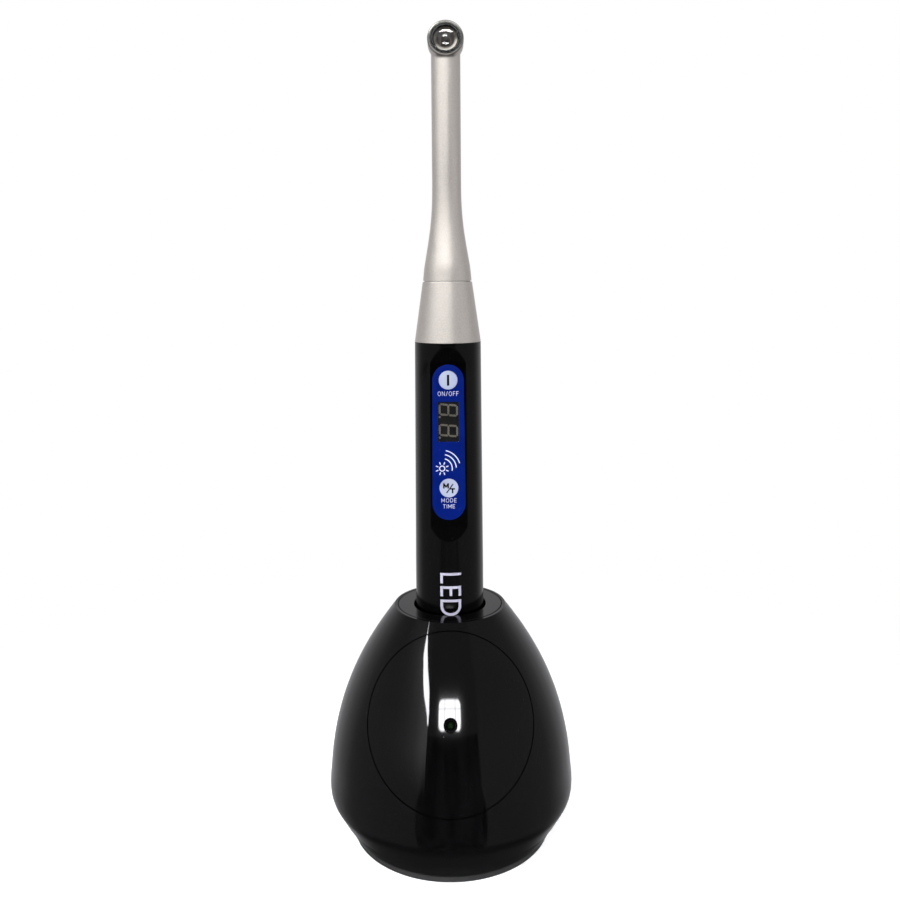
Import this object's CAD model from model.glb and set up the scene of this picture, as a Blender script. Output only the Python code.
import math

import bpy
import bmesh
import numpy as np
from mathutils import Matrix, Vector


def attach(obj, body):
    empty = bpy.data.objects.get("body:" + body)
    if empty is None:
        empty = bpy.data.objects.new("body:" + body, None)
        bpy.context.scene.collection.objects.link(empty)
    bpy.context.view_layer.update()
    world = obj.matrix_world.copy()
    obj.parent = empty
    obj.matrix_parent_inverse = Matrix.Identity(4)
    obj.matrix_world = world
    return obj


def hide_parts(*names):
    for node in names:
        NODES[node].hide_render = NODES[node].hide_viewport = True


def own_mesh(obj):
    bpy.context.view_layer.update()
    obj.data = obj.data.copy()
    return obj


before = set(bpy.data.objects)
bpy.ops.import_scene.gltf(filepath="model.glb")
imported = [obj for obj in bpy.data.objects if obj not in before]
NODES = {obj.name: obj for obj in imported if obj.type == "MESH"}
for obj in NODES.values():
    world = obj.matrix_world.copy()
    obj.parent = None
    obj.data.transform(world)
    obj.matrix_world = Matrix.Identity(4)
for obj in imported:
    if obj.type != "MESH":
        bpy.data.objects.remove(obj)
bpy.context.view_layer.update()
MM = 0.001


# ---------------------------------------------------------------- node helpers
class Graph:
    """Short notation for a procedural node tree."""

    def __init__(self, tree):
        self.tree = tree
        self.tree.nodes.clear()

    def node(self, kind, props=None, **inputs):
        n = self.tree.nodes.new(kind)
        for k, v in (props or {}).items():
            setattr(n, k, v)
        for k, v in inputs.items():
            key = int(k[1:]) if k[0] == "i" and k[1:].isdigit() else k.replace("_", " ")
            self.put(n.inputs[key], v)
        return n

    def put(self, socket, value):
        if isinstance(value, bpy.types.NodeSocket):
            self.tree.links.new(value, socket)
        elif isinstance(value, bpy.types.Node):
            self.tree.links.new(value.outputs[0], socket)
        else:
            if socket.type == "RGBA" and len(value) == 3:
                value = (*value, 1.0)
            socket.default_value = value

    def coords(self, scale=(1, 1, 1), rotation=(0, 0, 0)):
        tc = self.node("ShaderNodeTexCoord")
        return self.node("ShaderNodeMapping", Vector=tc.outputs["Object"], Scale=scale, Rotation=rotation)

    def noise(self, vector, scale, detail=3.0, roughness=0.55, distortion=0.0):
        return self.node("ShaderNodeTexNoise", Vector=vector, Scale=scale, Detail=detail,
                         Roughness=roughness, Distortion=distortion).outputs["Fac"]

    def ramp(self, fac, lo, hi, a=0.0, b=1.0):
        """Linear map of fac from lo..hi to a..b, clamped."""
        return self.node("ShaderNodeMapRange", {"clamp": True}, Value=fac, From_Min=lo, From_Max=hi,
                         To_Min=a, To_Max=b).outputs[0]

    def math(self, op, a, b=0.0, c=0.0):
        return self.node("ShaderNodeMath", {"operation": op}, i0=a, i1=b, i2=c).outputs[0]

    def mix(self, fac, a, b):
        n = self.tree.nodes.new("ShaderNodeMix")
        n.data_type = "RGBA"
        self.put(n.inputs["Factor"], fac)
        for s, v in ((n.inputs[6], a), (n.inputs[7], b)):
            self.put(s, v)
        return n.outputs[2]

    def bump(self, height, strength, distance=0.0001, normal=None):
        n = self.node("ShaderNodeBump", Height=height, Strength=strength, Distance=distance)
        if normal is not None:
            self.put(n.inputs["Normal"], normal)
        return n.outputs[0]


def new_material(name):
    m = bpy.data.materials.get(name) or bpy.data.materials.new(name)
    m.use_nodes = True
    return m, Graph(m.node_tree)


def principled(g, **inputs):
    n = g.tree.nodes.new("ShaderNodeBsdfPrincipled")
    for k, v in inputs.items():
        g.put(n.inputs[k.replace("_", " ")], v)
    out = g.tree.nodes.new("ShaderNodeOutputMaterial")
    g.tree.links.new(n.outputs[0], out.inputs[0])
    return n


def edge_wear(g, size=0.0004, lo=0.02, hi=0.10):
    """1 on edges and corners, 0 on flats: how far a bevelled normal leaves the plain one."""
    bev = g.node("ShaderNodeBevel", {"samples": 4}, Radius=size)
    geo = g.node("ShaderNodeNewGeometry")
    d = g.node("ShaderNodeVectorMath", {"operation": "DOT_PRODUCT"}, i0=bev.outputs[0], i1=geo.outputs["Normal"])
    off = g.math("SUBTRACT", 1.0, d.outputs["Value"])
    return g.ramp(off, lo, hi)


def dust(g, vector, scale=900.0, share=0.10):
    """Sparse small specks: 1 inside a speck."""
    v = g.node("ShaderNodeTexVoronoi", {"feature": "F1"}, Vector=vector, Scale=scale)
    pick = g.node("ShaderNodeTexWhiteNoise", {"noise_dimensions": "3D"}, Vector=v.outputs["Position"])
    near = g.ramp(v.outputs["Distance"], 0.06, 0.11, 1.0, 0.0)
    chosen = g.math("LESS_THAN", pick.outputs["Value"], share)
    return g.math("MULTIPLY", near, chosen)


# ---------------------------------------------------------------- materials
def gloss_black(name, base=(0.0011, 0.0011, 0.0013), rough=0.035, wave=0.05, speck=0.014, ior=1.49):
    m, g = new_material(name)
    v = g.coords()
    cloud = g.noise(v, 55.0, 3.0)
    haze = g.noise(v, 420.0, 4.0)
    hair = g.node("ShaderNodeTexNoise", Vector=g.coords((2600.0, 2600.0, 60.0), (0.4, 0.2, 0.9)), Scale=1.0, Detail=2.0)
    scratch = g.ramp(hair.outputs["Fac"], 0.70, 0.74)
    specks = dust(g, v, 700.0, speck)
    col = g.mix(g.ramp(cloud, 0.35, 0.65), base, tuple(c * 1.35 for c in base))
    col = g.mix(specks, col, (0.035, 0.035, 0.037))
    r = g.math("ADD", g.ramp(cloud, 0.3, 0.7, rough * 0.8, rough * 1.25), g.ramp(haze, 0.55, 0.8, 0.0, 0.02))
    r = g.math("ADD", r, g.math("MULTIPLY", scratch, 0.035))
    r = g.math("ADD", r, g.math("MULTIPLY", specks, 0.45))
    b = g.bump(g.noise(v, 38.0, 1.0), wave, 0.0004)
    b = g.bump(scratch, 0.012, 0.00002, b)
    principled(g, Base_Color=col, Roughness=r, IOR=ior, Normal=b, Specular_IOR_Level=0.5)
    return m


def satin_black(name, base, rough, grain=2600.0, depth=0.10, speck=0.05, milled=False):
    m, g = new_material(name)
    v = g.coords()
    fine = g.noise(v, grain, 3.0)
    cloud = g.noise(v, 90.0, 3.0)
    wear = edge_wear(g)
    specks = dust(g, v, 800.0, speck)
    col = g.mix(g.ramp(cloud, 0.3, 0.7), base, tuple(c * 1.5 + 0.0008 for c in base))
    col = g.mix(g.math("MULTIPLY", wear, 0.35), col, tuple(c * 2.6 + 0.012 for c in base))
    col = g.mix(specks, col, (0.09, 0.09, 0.095))
    r = g.math("ADD", g.ramp(cloud, 0.3, 0.7, rough * 0.9, rough * 1.12), g.ramp(fine, 0.3, 0.7, -0.02, 0.02))
    p = principled(g, Base_Color=col, Roughness=r, IOR=1.47, Normal=g.bump(fine, depth, 0.00003))
    if milled:
        # the flat and its ramps lie inside the tube's own round: a duller finish there
        sep = g.node("ShaderNodeSeparateXYZ", Vector=g.node("ShaderNodeTexCoord").outputs["Object"])
        away = g.math("SQRT", g.math("ADD", g.math("MULTIPLY", sep.outputs[0], sep.outputs[0]),
                                     g.math("MULTIPLY", sep.outputs[1], sep.outputs[1])))
        limit = g.ramp(sep.outputs[2], 0.100, 0.1812, 0.0127, 0.0125)
        inside = g.ramp(g.math("SUBTRACT", limit, away), 0.00004, 0.00025)
        g.put(p.inputs["Specular IOR Level"], g.ramp(inside, 0.0, 1.0, 0.5, 0.17))
    return m


def brushed_or_blasted(name, base, rough, grain, depth, metallic=1.0, tint=0.08, wear_up=0.25, polished_above=None):
    m, g = new_material(name)
    v = g.coords()
    fine = g.noise(v, grain, 2.0, 0.7)
    mid = g.noise(v, grain * 0.34, 3.0, 0.6)
    cloud = g.noise(v, 70.0, 3.0)
    grainy = g.math("ADD", g.math("MULTIPLY", fine, 0.55), g.math("MULTIPLY", mid, 0.45))
    dark = tuple(c * (1 - tint) for c in base)
    lite = tuple(min(1.0, c * (1 + tint * 0.6)) for c in base)
    col = g.mix(g.ramp(grainy, 0.36, 0.64), dark, lite)
    col = g.mix(g.ramp(cloud, 0.3, 0.7, 0.0, 0.25), col, tuple(c * 0.93 for c in base))
    wear = edge_wear(g, 0.00035)
    col = g.mix(g.math("MULTIPLY", wear, wear_up), col, tuple(min(1.0, c * 1.12 + 0.03) for c in base))
    r = g.math("ADD", g.ramp(grainy, 0.3, 0.7, rough - 0.05, rough + 0.05), g.ramp(cloud, 0.3, 0.7, -0.02, 0.03))
    r = g.math("SUBTRACT", r, g.math("MULTIPLY", wear, 0.10))
    if polished_above is not None:
        sep = g.node("ShaderNodeSeparateXYZ", Vector=g.node("ShaderNodeTexCoord").outputs["Object"])
        up = g.math("MULTIPLY", g.ramp(sep.outputs[2], polished_above, polished_above + 0.0040),
                    g.ramp(sep.outputs[1], -0.0035, -0.0010, 1.0, 0.0))
        bare = g.mix(g.ramp(mid, 0.35, 0.65), (0.28, 0.276, 0.265), (0.34, 0.336, 0.322))
        crown = g.ramp(sep.outputs[2], polished_above + 0.0080, polished_above + 0.0110)
        col = g.mix(up, col, g.mix(crown, bare, (0.170, 0.165, 0.155)))
        r = g.math("ADD", g.math("MULTIPLY", r, g.math("SUBTRACT", 1.0, up)), g.math("MULTIPLY", up, 0.24))
    principled(g, Base_Color=col, Roughness=r, Metallic=metallic, Normal=g.bump(grainy, depth, 0.00006))
    return m


def plastic(name, base, rough, grain=1500.0, depth=0.05, subsurface=0.0, vary=0.07, coat=0.0, gleam=0.5):
    m, g = new_material(name)
    v = g.coords()
    fine = g.noise(v, grain, 3.0)
    cloud = g.noise(v, 160.0, 3.0)
    col = g.mix(g.ramp(cloud, 0.3, 0.7), tuple(c * (1 - vary) for c in base), tuple(min(1.0, c * (1 + vary)) for c in base))
    wear = edge_wear(g, 0.0002)
    col = g.mix(g.math("MULTIPLY", wear, 0.2), col, tuple(min(1.0, c * 1.2 + 0.02) for c in base))
    r = g.math("ADD", g.ramp(cloud, 0.3, 0.7, rough * 0.88, rough * 1.12), g.ramp(fine, 0.3, 0.7, -0.02, 0.02))
    p = principled(g, Base_Color=col, Roughness=r, IOR=1.48, Normal=g.bump(fine, depth, 0.00003), Coat_Weight=coat,
                   Specular_IOR_Level=gleam)
    if subsurface:
        g.put(p.inputs["Subsurface Weight"], subsurface)
        g.put(p.inputs["Subsurface Radius"], (0.0012, 0.0012, 0.0014))
        g.put(p.inputs["Subsurface Scale"], 1.0)
    return m


def polished(name, base, rough, metallic=1.0, bright=None):
    m, g = new_material(name)
    v = g.coords()
    fine = g.noise(v, 1800.0, 3.0)
    cloud = g.noise(v, 300.0, 3.0)
    col = g.mix(g.ramp(cloud, 0.3, 0.7), tuple(c * 0.92 for c in base), base)
    if bright is not None:
        col = g.mix(edge_wear(g, 0.00025, 0.02, 0.08), col, bright)
    r = g.ramp(g.math("ADD", g.math("MULTIPLY", fine, 0.5), g.math("MULTIPLY", cloud, 0.5)), 0.35, 0.65, rough * 0.7, rough * 1.4)
    principled(g, Base_Color=col, Roughness=r, Metallic=metallic, Normal=g.bump(fine, 0.03, 0.00002))
    return m


def smoked_window(name):
    """Tinted clear film: straight-through tint with a glossy face."""
    m, g = new_material(name)
    v = g.coords()
    cloud = g.noise(v, 300.0, 3.0)
    tint = g.mix(g.ramp(cloud, 0.3, 0.7), (0.60, 0.60, 0.59), (0.66, 0.66, 0.65))
    clear = g.node("ShaderNodeBsdfTransparent", Color=tint)
    gloss = g.node("ShaderNodeBsdfGlossy", Color=(1, 1, 1), Roughness=g.ramp(cloud, 0.3, 0.7, 0.10, 0.16),
                   Normal=g.bump(g.noise(v, 900.0, 2.0), 0.04, 0.00003))
    fr = g.node("ShaderNodeFresnel", IOR=1.47)
    mix = g.node("ShaderNodeMixShader", i0=fr.outputs[0], i1=clear.outputs[0], i2=gloss.outputs[0])
    g.node("ShaderNodeOutputMaterial", Surface=mix.outputs[0])
    return m


def clear_lens(name):
    m, g = new_material(name)
    v = g.coords()
    cloud = g.noise(v, 500.0, 3.0)
    clear = g.node("ShaderNodeBsdfTransparent", Color=g.mix(g.ramp(cloud, 0.3, 0.7), (0.93, 0.94, 0.92), (0.97, 0.97, 0.96)))
    gloss = g.node("ShaderNodeBsdfGlossy", Color=(1, 1, 1), Roughness=g.ramp(cloud, 0.3, 0.7, 0.005, 0.02))
    fr = g.node("ShaderNodeFresnel", IOR=1.5)
    mix = g.node("ShaderNodeMixShader", i0=fr.outputs[0], i1=clear.outputs[0], i2=gloss.outputs[0])
    # the edge of the dome gathers light, most of all at the bottom
    sep = g.node("ShaderNodeSeparateXYZ", Vector=g.node("ShaderNodeTexCoord").outputs["Object"])
    low = g.math("SUBTRACT", 0.2949, sep.outputs[2])
    away = g.math("SQRT", g.math("ADD", g.math("MULTIPLY", sep.outputs[0], sep.outputs[0]), g.math("MULTIPLY", low, low)))
    down = g.math("ADD", low, g.math("MULTIPLY", sep.outputs[0], 0.3))
    rim = g.math("MULTIPLY", g.ramp(away, 0.0033, 0.0043), g.ramp(down, 0.0008, 0.0040, 0.06, 1.0))
    milk = g.node("ShaderNodeBsdfDiffuse", Color=g.mix(g.ramp(cloud, 0.3, 0.7), (0.56, 0.53, 0.48), (0.70, 0.67, 0.61)))
    mix = g.node("ShaderNodeMixShader", i0=rim, i1=mix.outputs[0], i2=milk.outputs[0])
    g.node("ShaderNodeOutputMaterial", Surface=mix.outputs[0])
    return m


MAT = {}
MAT["shell_black"] = gloss_black("shell_black")
MAT["socket_black"] = gloss_black("socket_black", base=(0.004, 0.004, 0.0042), rough=0.17, wave=0.03, speck=0.02)
MAT["lower_ring_black"] = satin_black("lower_ring_black", (0.0030, 0.0030, 0.0032), 0.20)
MAT["foot_rubber"] = satin_black("foot_rubber", (0.018, 0.018, 0.018), 0.75, 1800.0, 0.3)
MAT["pad_rubber"] = satin_black("pad_rubber", (0.020, 0.020, 0.021), 0.80, 1800.0, 0.3)
MAT["handle_black"] = satin_black("handle_black", (0.0016, 0.0016, 0.0018), 0.17, 4200.0, 0.03, 0.012, milled=True)
MAT["cap_black"] = satin_black("cap_black", (0.006, 0.006, 0.006), 0.28)
MAT["inner_black"] = satin_black("inner_black", (0.012, 0.012, 0.0125), 0.45)
MAT["chip_black"] = satin_black("chip_black", (0.014, 0.014, 0.014), 0.42)
MAT["seal_rubber"] = satin_black("seal_rubber", (0.03, 0.03, 0.03), 0.7)
MAT["display_black"] = satin_black("display_black", (0.030, 0.030, 0.029), 0.50, 3000.0, 0.05, 0.0)
MAT["plain_steel"] = brushed_or_blasted("plain_steel", (0.52, 0.52, 0.53), 0.32, 2400.0, 0.2)
MAT["spring_steel"] = brushed_or_blasted("spring_steel", (0.48, 0.48, 0.50), 0.28, 2400.0, 0.15)
MAT["contact_gold"] = brushed_or_blasted("contact_gold", (0.90, 0.68, 0.32), 0.22, 3000.0, 0.10)
MAT["copper"] = brushed_or_blasted("copper", (0.34, 0.235, 0.18), 0.45, 2200.0, 0.2)
MAT["champagne_metal"] = brushed_or_blasted("champagne_metal", (0.786, 0.737, 0.687), 0.40, 5200.0, 0.60, tint=0.13, polished_above=0.2885)
MAT["bezel_chrome"] = polished("bezel_chrome", (0.05, 0.05, 0.05), 0.16, bright=(0.85, 0.85, 0.83))
MAT["reflector_bright"] = polished("reflector_bright", (0.30, 0.245, 0.19), 0.45)
MAT["board_green"] = plastic("board_green", (0.012, 0.085, 0.035), 0.35, coat=0.3)
MAT["wire_red"] = plastic("wire_red", (0.35, 0.015, 0.012), 0.42)
MAT["lamp_green"] = plastic("lamp_green", (0.030, 0.085, 0.022), 0.30, gleam=0.4)
MAT["label_blue"] = plastic("label_blue", (0.0008, 0.0105, 0.146), 0.24, 2600.0, 0.03, vary=0.10, gleam=0.16)
MAT["segment_grey"] = plastic("segment_grey", (0.86, 0.80, 0.67), 0.5)
MAT["button_white"] = plastic("button_white", (0.43, 0.475, 0.615), 0.30, 2200.0, 0.03, vary=0.03)
MAT["cell_sleeve"] = plastic("cell_sleeve", (0.03, 0.10, 0.28), 0.4)
MAT["emitter_yellow"] = plastic("emitter_yellow", (0.075, 0.066, 0.045), 0.25)
MAT["washer_white"] = plastic("washer_white", (0.70, 0.70, 0.68), 0.4)
MAT["insulator_cream"] = plastic("insulator_cream", (0.66, 0.60, 0.46), 0.45)
MAT["window_smoke"] = smoked_window("window_smoke")
MAT["lens_glass"] = clear_lens("lens_glass")
MAT["ink_white"] = plastic("ink_white", (0.72, 0.76, 0.92), 0.45, 3200.0, 0.05, vary=0.04)
MAT["ink_lilac"] = plastic("ink_lilac", (0.50, 0.49, 0.60), 0.40, 3200.0, 0.05, vary=0.05)
MAT["ink_black"] = plastic("ink_black", (0.003, 0.003, 0.004), 0.60, 3200.0, 0.05, vary=0.10, gleam=0.06)

for node in NODES.values():
    for s in node.material_slots:
        if s.material is not None:
            key = s.material.name.split(".")[0]
            if key in MAT:
                s.material = MAT[key]


# ---------------------------------------------------------------- mesh helpers
def link(name, me, material, body, replaces=()):
    o = bpy.data.objects.new(name, me)
    bpy.context.scene.collection.objects.link(o)
    me.materials.clear()
    me.materials.append(MAT[material])
    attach(o, body)
    if replaces:
        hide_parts(*replaces)
    return o


def text_mesh(body_text, height, spacing=1.0, bold=0.0, squeeze=1.0):
    """Plain sans lettering as flat faces in XY, centred on the origin, letter height in metres."""
    cu = bpy.data.curves.new("text_tmp", "FONT")
    cu.body = body_text
    cu.align_x, cu.align_y = "CENTER", "CENTER"
    cu.size = 1.0
    cu.space_character = spacing
    cu.offset = bold
    cu.resolution_u = 6
    ob = bpy.data.objects.new("text_tmp", cu)
    bpy.context.scene.collection.objects.link(ob)
    bpy.context.view_layer.update()
    dg = bpy.context.evaluated_depsgraph_get()
    me = bpy.data.meshes.new_from_object(ob.evaluated_get(dg))
    bpy.data.objects.remove(ob)
    bpy.data.curves.remove(cu)
    co = np.array([v.co for v in me.vertices])
    lo, hi = co.min(0), co.max(0)
    k = height / (hi[1] - lo[1])
    me.transform(Matrix.Translation((-(lo[0] + hi[0]) / 2, -(lo[1] + hi[1]) / 2, 0)))
    me.transform(Matrix.Diagonal((k * squeeze, k, 1, 1)))
    return me


def outline_mesh(loops):
    """Flat faces in XY from a list of convex or simple outlines (mm)."""
    bm = bmesh.new()
    for loop in loops:
        bm.faces.new([bm.verts.new((x * MM, y * MM, 0)) for x, y in loop])
    me = bpy.data.meshes.new("outline")
    bm.to_mesh(me)
    bm.free()
    return me


def print_on(me, place, thick=0.00002):
    """Gives flat XY faces a real ink thickness and puts them on a vertical front face:
    X of the drawing is X, Y of the drawing is Z, and the ink stands towards -Y."""
    bm = bmesh.new()
    bm.from_mesh(me)
    bmesh.ops.remove_doubles(bm, verts=bm.verts, dist=1e-7)
    bmesh.ops.dissolve_degenerate(bm, edges=bm.edges, dist=1e-7)
    faces = list(bm.faces)
    for f in faces:
        if f.normal.z < 0:
            f.normal_flip()
    got = bmesh.ops.extrude_face_region(bm, geom=faces)
    for e in got["geom"]:
        if isinstance(e, bmesh.types.BMVert):
            e.co.z += thick
    bmesh.ops.recalc_face_normals(bm, faces=bm.faces)
    for v in bm.verts:
        x, y, z = v.co
        v.co = place(x, y, z)
    bmesh.ops.recalc_face_normals(bm, faces=bm.faces)
    out = bpy.data.meshes.new("print")
    bm.to_mesh(out)
    bm.free()
    return out


def flat_front(cx, cz, y0):
    return lambda x, y, z: Vector((cx * MM + x, y0 * MM - z, cz * MM + y))


# ---------------------------------------------------------------- printing
OVER = -10.953          # just in the film's face
CAPF = -11.093          # just in the button caps' faces


def stroke(points, width):
    """Outline of a line of even width through the points (mm), as one closed loop."""
    left, right = [], []
    n = len(points)
    for i, (x, y) in enumerate(points):
        ax, ay = points[max(i - 1, 0)]
        bx, by = points[min(i + 1, n - 1)]
        ln = math.hypot(bx - ax, by - ay)
        nx, ny = -(by - ay) / ln, (bx - ax) / ln
        left.append((x + nx * width / 2, y + ny * width / 2))
        right.append((x - nx * width / 2, y - ny * width / 2))
    return left, right


def stroke_mesh(lines):
    """Flat faces in XY (mm) for a list of (points, width)."""
    bm = bmesh.new()
    for points, width in lines:
        left, right = stroke(points, width)
        vl = [bm.verts.new((x * MM, y * MM, 0)) for x, y in left]
        vr = [bm.verts.new((x * MM, y * MM, 0)) for x, y in right]
        for i in range(len(vl) - 1):
            bm.faces.new((vl[i], vl[i + 1], vr[i + 1], vr[i]))
    me = bpy.data.meshes.new("strokes")
    bm.to_mesh(me)
    bm.free()
    return me


def arc(cx, cy, r, a0, a1, n=20):
    return [(cx + r * math.cos(math.radians(a0 + (a1 - a0) * k / n)), cy + r * math.sin(math.radians(a0 + (a1 - a0) * k / n)))
            for k in range(n + 1)]


def letters(text, height, width, line, gap=0.42):
    """Single-line capitals: strokes for stroke_mesh, centred on the origin (mm)."""
    shapes = {
        "O": (0.80, [[(0.40 + 0.40 * math.cos(a * math.pi / 14), 0.5 + 0.5 * math.sin(a * math.pi / 14)) for a in range(29)]]),
        "N": (0.72, [[(0, 0), (0, 1)], [(0, 1), (0.72, 0)], [(0.72, 0), (0.72, 1)]]),
        "F": (0.55, [[(0, 0), (0, 1)], [(0, 1), (0.55, 1)], [(0, 0.52), (0.46, 0.52)]]),
        "M": (0.86, [[(0, 0), (0, 1)], [(0, 1), (0.43, 0.25)], [(0.43, 0.25), (0.86, 1)], [(0.86, 1), (0.86, 0)]]),
        "D": (0.70, [[(0, 0), (0, 1)], [(0, 1), (0.25, 1), (0.48, 0.92), (0.63, 0.75), (0.70, 0.5), (0.63, 0.25),
                                        (0.48, 0.08), (0.25, 0), (0, 0)]]),
        "E": (0.55, [[(0, 0), (0, 1)], [(0, 1), (0.55, 1)], [(0, 0.52), (0.48, 0.52)], [(0, 0), (0.55, 0)]]),
        "T": (0.64, [[(0.32, 0), (0.32, 1)], [(0, 1), (0.64, 1)]]),
        "I": (0.0, [[(0, 0), (0, 1)]]),
        "/": (0.42, [[(0, -0.05), (0.42, 1.05)]])}
    pen, runs = 0.0, []
    for ch in text:
        w, parts = shapes[ch]
        runs += [[(x + pen, y) for x, y in p] for p in parts]
        pen += w + gap
    total = pen - gap
    inside = height - line
    kx = (width - line) / total if total > 0 else 1.0
    out = []
    for p in runs:
        pts = [((x - total / 2) * kx, (y - 0.5) * inside) for x, y in p]
        (ax, ay), (bx, by) = pts[0], pts[1]
        e = math.hypot(bx - ax, by - ay)
        pts[0] = (ax - (bx - ax) / e * line * 0.45, ay - (by - ay) / e * line * 0.45)
        (ax, ay), (bx, by) = pts[-1], pts[-2]
        e = math.hypot(bx - ax, by - ay)
        if len(pts) == 2:
            pts[-1] = (ax - (bx - ax) / e * line * 0.45, ay - (by - ay) / e * line * 0.45)
        out.append((pts, line))
    return out


def label(name, text, cx, cz, height, width, line=0.15):
    return link(name, print_on(stroke_mesh(letters(text, height, width, line)), flat_front(cx, cz, OVER)), "ink_white", "handpiece")


label("print_on_off", "ON/OFF", 0.0, 162.8, 1.68, 7.7)
label("print_mode", "MODE", 0.0, 123.6, 1.52, 5.6)
label("print_time", "TIME", 0.0, 121.4, 1.45, 4.4)

# plain light symbol over the lower button: a small lamp with rays, and three waves
symbol = [(arc(-2.4, -0.6, 0.95, 0, 360, 28), 0.34)]
for k in range(8):
    a = math.radians(22.5 + 45 * k)
    symbol.append(([(-2.4 + 1.55 * math.cos(a), -0.6 + 1.55 * math.sin(a)), (-2.4 + 2.5 * math.cos(a), -0.6 + 2.5 * math.sin(a))], 0.34))
for r, a0, a1 in ((3.7, -12, 74), (5.2, 4, 78), (6.7, 17, 78)):
    symbol.append((arc(-2.4, -0.6, r, a0, a1), 0.36))
link("print_light_symbol", print_on(stroke_mesh(symbol), flat_front(0.0, 135.9, OVER)), "ink_white", "handpiece")

# marks on the two button caps
link("print_power_bar", print_on(outline_mesh([[(-0.43, -2.0), (0.43, -2.0), (0.43, 2.0), (-0.43, 2.0)]]),
                                 flat_front(0.0, 167.75, -11.055), 0.000043), "ink_black", "power_button")


def mark(text, cx, cy, height, width):
    me = stroke_mesh(letters(text, height, width, 0.56))
    me.transform(Matrix.Translation((cx * MM, cy * MM, 0)))
    return print_on(me, flat_front(0.0, 128.1, -11.050), 0.000046)


link("print_letter_m", mark("M", -1.05, 0.85, 1.95, 2.15), "ink_black", "mode_button")
link("print_letter_t", mark("T", 1.35, -0.95, 1.95, 1.8), "ink_black", "mode_button")
link("print_slash", print_on(stroke_mesh([([(-0.85, -1.75), (1.55, 1.55)], 0.42)]), flat_front(0.0, 128.1, -11.050), 0.000046),
     "ink_black", "mode_button")

# large plain lettering down the lower handle, wrapped round the tube
WRAP = 12.68 * MM
big = text_mesh("LED", 7.7 * MM, 1.05, 0.0)
reach = max(abs(v.co.x) for v in big.vertices)
big.transform(Matrix.Diagonal((7.8 * MM / reach, 1, 1, 1)))
bm = bmesh.new()
bm.from_mesh(big)
bmesh.ops.remove_doubles(bm, verts=bm.verts, dist=1e-7)
for k in range(-8, 9):
    bmesh.ops.bisect_plane(bm, geom=list(bm.verts) + list(bm.edges) + list(bm.faces), dist=1e-8,
                           plane_co=(0, k * 0.55 * MM, 0), plane_no=(0, 1, 0))
bm.to_mesh(big)
bm.free()
reach = max(abs(v.co.x) for v in big.vertices)


def wrapped(x, y, z):
    a = (y + 0.4 * MM) / WRAP
    r = WRAP + z
    return Vector((r * math.sin(a), -r * math.cos(a), 97.4 * MM - (x + reach)))


link("print_handle", print_on(big, wrapped, 0.000034), "ink_lilac", "handpiece")


# ---------------------------------------------------------------- springs under the charging pins
# the same coils as the CAD's, but they shorten as their pin goes down
for tag, joint in (("centre", "centre_pin_press"), ("outer", "outer_pin_press")):
    rest_coil = "pin_spring_" + tag
    me = NODES[rest_coil].data.copy()
    coil = link("sprung_coil_" + tag, me, "spring_steel", "dock", replaces=(rest_coil,))
    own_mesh(coil)


# ---------------------------------------------------------------- stage
def emission_material(name, colour, strength_socket):
    m, g = new_material(name)
    e = g.node("ShaderNodeEmission", Color=colour)
    g.put(e.inputs["Strength"], strength_socket(g) if callable(strength_socket) else strength_socket)
    g.node("ShaderNodeOutputMaterial", Surface=e.outputs[0])
    return m


def azel(az, el, dist, target=(0, -0.02, 0.05)):
    """Point seen from target at azimuth az (0 = towards the viewer, + = viewer's right) and elevation el."""
    a, e = math.radians(az), math.radians(el)
    return Vector(target) + dist * Vector((math.sin(a) * math.cos(e), -math.cos(a) * math.cos(e), math.sin(e)))


scene = bpy.context.scene
world = bpy.data.worlds.new("studio")
scene.world = world
world.use_nodes = True
wg = Graph(world.node_tree)


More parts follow.
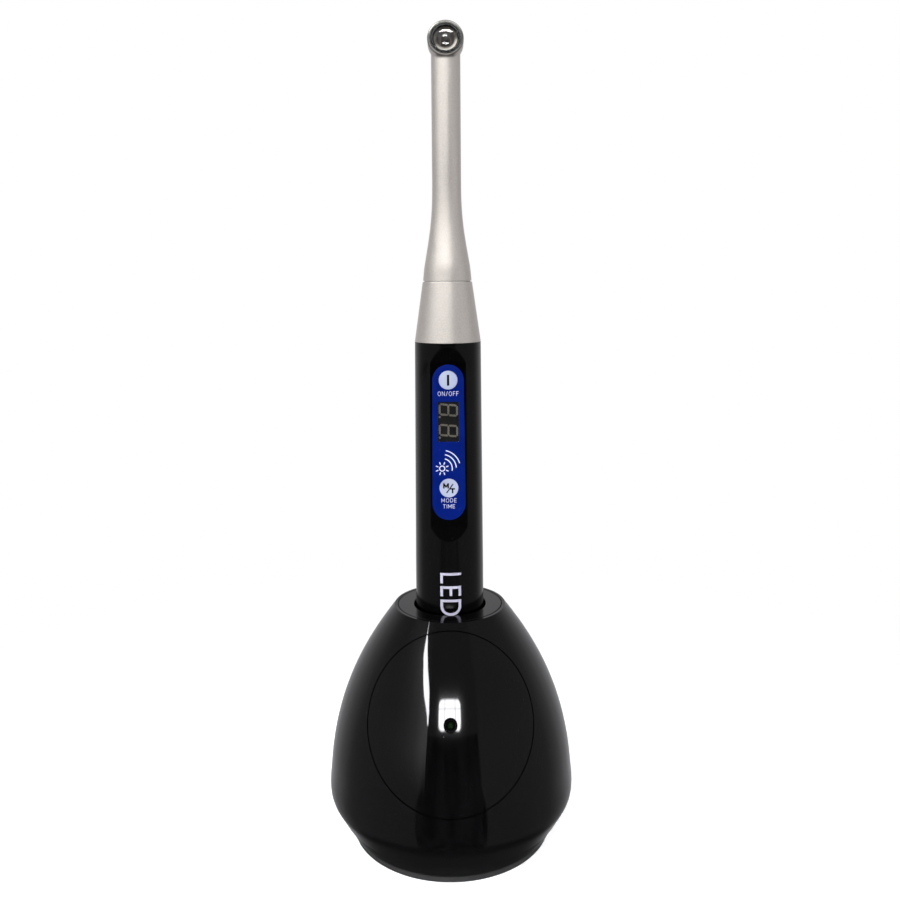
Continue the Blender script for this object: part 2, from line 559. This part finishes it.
def studio_light(g, part):
    """Radiance of the studio round the object, from the direction alone.
    room: a dim room, a brighter backdrop behind and the dark shape of the camera stand in front.
    strip: a strip light on the left with a fabric side that fades away from it.
    softbox: one softbox high in front."""
    M = g.math
    tc = g.node("ShaderNodeTexCoord")
    d = g.node("ShaderNodeVectorMath", {"operation": "NORMALIZE"},
               i0=tc.outputs["Generated" if part == "room" else "Object"]).outputs[0]
    sep = g.node("ShaderNodeSeparateXYZ", Vector=d)
    x, y, z = sep.outputs
    az = M("MULTIPLY", M("ARCTAN2", x, M("MULTIPLY", y, -1.0)), 180 / math.pi)
    el = M("MULTIPLY", M("ARCSINE", z), 180 / math.pi)
    coz = M("SQRT", M("MAXIMUM", M("SUBTRACT", 1.0, M("MULTIPLY", z, z)), 0.0))
    S = lambda v, lo, hi, a=0.0, b=1.0: g.node("ShaderNodeMapRange", {"interpolation_type": "SMOOTHSTEP"}, Value=v,
                                               From_Min=lo, From_Max=hi, To_Min=a, To_Max=b).outputs[0]
    room = S(el, -35, 5, 0.165, 0.225)
    room = M("MULTIPLY", room, S(el, -52, -33, 0.30, 1.0))
    back = S(y, 0.12, 0.85, 0.0, 0.31)
    total = M("ADD", room, M("MULTIPLY", back, S(el, -60, -25)))
    # darker band over the softbox, dark stand in front
    a = M("ABSOLUTE", az)
    band = M("MULTIPLY", S(M("ABSOLUTE", M("SUBTRACT", M("MULTIPLY", az, coz), 2.0)), 24, 28, 1, 0), S(el, 8, 16))
    total = M("SUBTRACT", total, M("MULTIPLY", band, 0.055))
    spread = M("ADD", a, S(el, -22, -6, -5.0, 0.0))
    stand = M("MULTIPLY", S(spread, 25.5, 28.0, 1, 0), S(el, 12.5, 14.5, 1, 0))
    stand = M("MULTIPLY", stand, S(el, -70, -50))
    grain = g.noise(g.node("ShaderNodeMapping", Vector=d, Scale=(9.0, 9.0, 2.0)), 1.0, 2.0)
    total = M("ADD", M("MULTIPLY", total, M("SUBTRACT", 1.0, stand)), M("MULTIPLY", stand, g.ramp(grain, 0.35, 0.65, 0.02, 0.075)))
    if part == "room":
        return total
    total = 0.0
    # strip light and its fading side
    up = M("SUBTRACT", el, 13.0)
    line = M("SUBTRACT", -24.0, M("MULTIPLY", M("MULTIPLY", up, M("MAXIMUM", up, 0.0)), 0.022))
    off = M("MULTIPLY", M("SUBTRACT", line, az), coz)
    half = M("MINIMUM", S(el, 16.5, 38, 0.9, 3.7), S(el, 40, 49.5, 3.7, 0.3))
    strip = M("MULTIPLY", S(M("SUBTRACT", M("ABSOLUTE", off), half), -0.7, 0.5, 1, 0), M("MULTIPLY", S(el, 16.5, 18.5), S(el, 49, 50.5, 1, 0)))
    total = M("ADD", total, M("MULTIPLY", strip, 26.0))
    side = M("MULTIPLY", M("POWER", 2.718, M("MULTIPLY", M("MAXIMUM", off, 0.0), -1 / 11.0)), S(off, -0.5, 0.5))
    side = M("MULTIPLY", side, M("MULTIPLY", S(el, -14, 10), S(el, 38, 52, 1, 0)))
    total = M("ADD", total, M("MULTIPLY", side, 1.05))
    if part == "strip":
        return total
    total = 0.0
    # softbox, as a flat rectangle square to its own direction
    ce = math.radians(23.0)
    ca = math.radians(-0.6)
    c = Vector((math.sin(ca) * math.cos(ce), -math.cos(ca) * math.cos(ce), math.sin(ce)))
    r = Vector((0, 0, 1)).cross(-c).normalized() * -1
    r = Vector((1, 0, 0)) - c * c.x
    r.normalize()
    u3 = c.cross(r)
    if u3.z < 0:
        u3 = -u3
    dot = lambda v: g.node("ShaderNodeVectorMath", {"operation": "DOT_PRODUCT"}, i0=d, i1=tuple(v)).outputs["Value"]
    front = M("MAXIMUM", dot(c), 0.05)
    uu, vv = M("DIVIDE", dot(r), front), M("DIVIDE", dot(u3), front)
    qx = M("SUBTRACT", M("ABSOLUTE", uu), 0.197 - 0.05)
    qy = M("SUBTRACT", M("ABSOLUTE", vv), 0.120 - 0.05)
    qxp, qyp = M("MAXIMUM", qx, 0.0), M("MAXIMUM", qy, 0.0)
    dist = M("SUBTRACT", M("SQRT", M("ADD", M("MULTIPLY", qxp, qxp), M("MULTIPLY", qyp, qyp))), 0.05)
    box = M("MULTIPLY", S(dist, -0.012, 0.012, 1, 0), S(dot(c), 0.3, 0.5))
    rib = M("MULTIPLY", S(M("ABSOLUTE", M("ADD", uu, 0.10)), 0.004, 0.010, 0.45, 1), S(M("ABSOLUTE", M("SUBTRACT", uu, 0.095)), 0.004, 0.010, 0.55, 1))
    rib = M("MULTIPLY", rib, S(M("ABSOLUTE", M("SUBTRACT", vv, 0.05)), 0.004, 0.012, 0.75, 1))
    total = M("ADD", total, M("MULTIPLY", M("MULTIPLY", box, rib), 27.0))
    halo = M("MULTIPLY", M("POWER", 2.718, M("MULTIPLY", M("MAXIMUM", dist, 0.0), -1 / 0.030)), S(dot(c), 0.3, 0.6))
    total = M("ADD", total, M("MULTIPLY", halo, S(vv, -0.16, 0.0, 0.8, 2.4)))
    return total


lp = wg.node("ShaderNodeLightPath")
bg_seen = wg.node("ShaderNodeBackground", Color=(1, 1, 1), Strength=1.0)
bg_else = wg.node("ShaderNodeBackground", Color=(0.97, 0.97, 1.0), Strength=studio_light(wg, "room"))
wm = wg.node("ShaderNodeMixShader", i0=lp.outputs["Is Camera Ray"], i1=bg_else.outputs[0], i2=bg_seen.outputs[0])
wg.node("ShaderNodeOutputWorld", Surface=wm.outputs[0])

# the metal has soft lights of its own; the softbox and the strip light leave it out
metal = bpy.data.collections.new("metal_receivers")
all_but_metal = bpy.data.collections.new("all_but_metal")
head_parts = bpy.data.collections.new("head_receivers")
lens_only = bpy.data.collections.new("lens_receiver")
lens_only.objects.link(NODES["light_lens"])
for n in ("neck", "collar"):
    metal.objects.link(NODES[n])
    all_but_metal.objects.link(NODES[n])
for n in ("head_bezel", "light_lens", "reflector", "led_emitter", "led_board"):
    head_parts.objects.link(NODES[n])
    all_but_metal.objects.link(NODES[n])
for n in ("handle_tube", "indicator_led", "led_holder", "socket_cup"):
    all_but_metal.objects.link(NODES[n])
for c in all_but_metal.collection_objects:
    c.light_linking.link_state = "EXCLUDE"


def far_light(name, az0, az1, el0, el1, radius, only=None):
    """A piece of a far sphere that shines with one part of the studio."""
    m, g = new_material(name)
    e = g.node("ShaderNodeEmission", Color=(0.97, 0.97, 1.0), Strength=studio_light(g, name))
    t = g.node("ShaderNodeBsdfTransparent")
    both = g.node("ShaderNodeAddShader", i0=e.outputs[0], i1=t.outputs[0])
    g.node("ShaderNodeOutputMaterial", Surface=both.outputs[0])
    bm = bmesh.new()
    cols, rows = 14, 10
    grid = [[bm.verts.new(azel(az0 + (az1 - az0) * i / cols, el0 + (el1 - el0) * j / rows, radius, (0, 0, 0)))
             for i in range(cols + 1)] for j in range(rows + 1)]
    for j in range(rows):
        for i in range(cols):
            bm.faces.new((grid[j][i], grid[j + 1][i], grid[j + 1][i + 1], grid[j][i + 1]))
    me = bpy.data.meshes.new(name)
    bm.to_mesh(me)
    bm.free()
    me.materials.append(m)
    o = bpy.data.objects.new(name, me)
    scene.collection.objects.link(o)
    o.location = (0, -0.036, 0.06)
    o.visible_camera = False
    o.visible_shadow = False
    o.light_linking.receiver_collection = only if only is not None else all_but_metal
    return o


far_light("softbox", -34, 33, 2, 46, 12.0)
far_light("strip", -84, -16, -16, 53, 13.0)


def area(name, az, el, dist, w, h, radiance, target=(0, 0, 0.24), colour=(1, 1, 1), only=None):
    ld = bpy.data.lights.new(name, "AREA")
    ld.shape = "RECTANGLE"
    ld.size, ld.size_y = w, h
    ld.energy = radiance * math.pi * w * h
    ld.color = colour
    o = bpy.data.objects.new(name, ld)
    scene.collection.objects.link(o)
    pos = azel(az, el, dist, target)
    o.matrix_world = Matrix.Translation(pos) @ (pos - Vector(target)).to_track_quat("Z", "Y").to_matrix().to_4x4()
    o.visible_camera = False
    if only is not None:
        o.light_linking.receiver_collection = only
    return o


# azimuth, elevation and radiance of each soft panel round the metal
PANELS = [(-100, 0, 0.18), (-75, 0, 0.27), (-50, 0, 0.63), (-25, 0, 0.53), (0, 0, 0.44), (25, 0, 0.14), (50, 0, 0.31),
          (75, 0, 0.40), (100, 0, 0.13), (-75, 25, 0.23), (-50, 25, 0.18), (-25, 25, 0.32), (0, 25, 0.94), (100, 25, 0.16),
          (-100, 52, 1.9), (-75, 52, 6.33), (-50, 52, 6.83), (-25, 52, 2.59), (0, 52, 3.31), (25, 52, 4.7), (50, 52, 1.46),
          (100, 52, 1.46)]
for k, (az, el, radiance) in enumerate(PANELS):
    area("metal_panel_%02d" % k, az, el, 1.0, 0.5, 0.5, radiance, only=metal)
handle_only = bpy.data.collections.new("handle_receiver")
handle_only.objects.link(NODES["handle_tube"])
area("handle_fill", 0, -24, 1.0, 0.95, 0.50, 0.075, target=(0, 0, 0.12), only=handle_only)
area("head_overhead", 0, 84, 1.0, 1.3, 1.3, 1.5, target=(0, -0.006, 0.295), only=head_parts)
area("head_front", -8, 30, 1.0, 1.2, 0.6, 0.75, target=(0, -0.006, 0.295), only=head_parts)
area("lens_overhead", -1, 64.5, 1.136, 1.30, 0.50, 60.0, target=(0, -0.006, 0.295), only=lens_only)
area("lens_middle", -2, 27.5, 1.0, 0.38, 0.16, 30.0, target=(0, -0.006, 0.295), only=lens_only)
area("lens_low", 1, -13.6, 1.0, 0.58, 0.13, 26.0, target=(0, -0.006, 0.295), only=lens_only)

# floor: a plain pale disc that melts into the white surround
fm, g = new_material("floor_pale")
tc = g.node("ShaderNodeTexCoord")
ln = g.node("ShaderNodeVectorMath", {"operation": "LENGTH"}, i0=tc.outputs["Object"])
paper = g.noise(tc.outputs["Object"], 700.0, 4.0)
pale = g.mix(g.ramp(paper, 0.3, 0.7), (0.86, 0.86, 0.86), (0.90, 0.90, 0.90))
dif = g.node("ShaderNodeBsdfDiffuse", Color=pale, Normal=g.bump(paper, 0.05, 0.0001))
glow = g.node("ShaderNodeEmission", Color=(1, 1, 1), Strength=0.62)
add = g.node("ShaderNodeAddShader", i0=dif.outputs[0], i1=glow.outputs[0])
tr = g.node("ShaderNodeBsdfTransparent")
fade = g.ramp(ln.outputs["Value"], 0.07, 0.30)
fmix = g.node("ShaderNodeMixShader", i0=fade, i1=add.outputs[0], i2=tr.outputs[0])
g.node("ShaderNodeOutputMaterial", Surface=fmix.outputs[0])
bm = bmesh.new()
bmesh.ops.create_circle(bm, cap_ends=True, radius=0.9, segments=96)
me = bpy.data.meshes.new("floor")
bm.to_mesh(me); bm.free()
me.materials.append(fm)
floor = bpy.data.objects.new("floor", me)
scene.collection.objects.link(floor)
floor.visible_glossy = False
floor.location = (0, 0, -0.00005)

# ---------------------------------------------------------------- camera
cam_data = bpy.data.cameras.new("camera")
cam_data.lens = 36.8
cam_data.sensor_width = 36.0
cam_data.shift_y = -175.0 / 900.0
cam_data.clip_start, cam_data.clip_end = 0.01, 20.0
cam = bpy.data.objects.new("camera", cam_data)
scene.collection.objects.link(cam)
cam.location = (0.00102, -0.349, 0.2064)
cam.rotation_euler = (math.radians(90), 0, 0)
cam.rotation_mode = "XYZ"
cam.matrix_world = Matrix.Translation(cam.location) @ Matrix.Rotation(math.radians(90), 4, "X") @ Matrix.Rotation(math.radians(-0.45), 4, "Z")
scene.camera = cam
scene.view_settings.view_transform = "Standard"
scene.view_settings.look = "None"
scene.view_settings.exposure = 0.0
scene.view_settings.gamma = 1.0
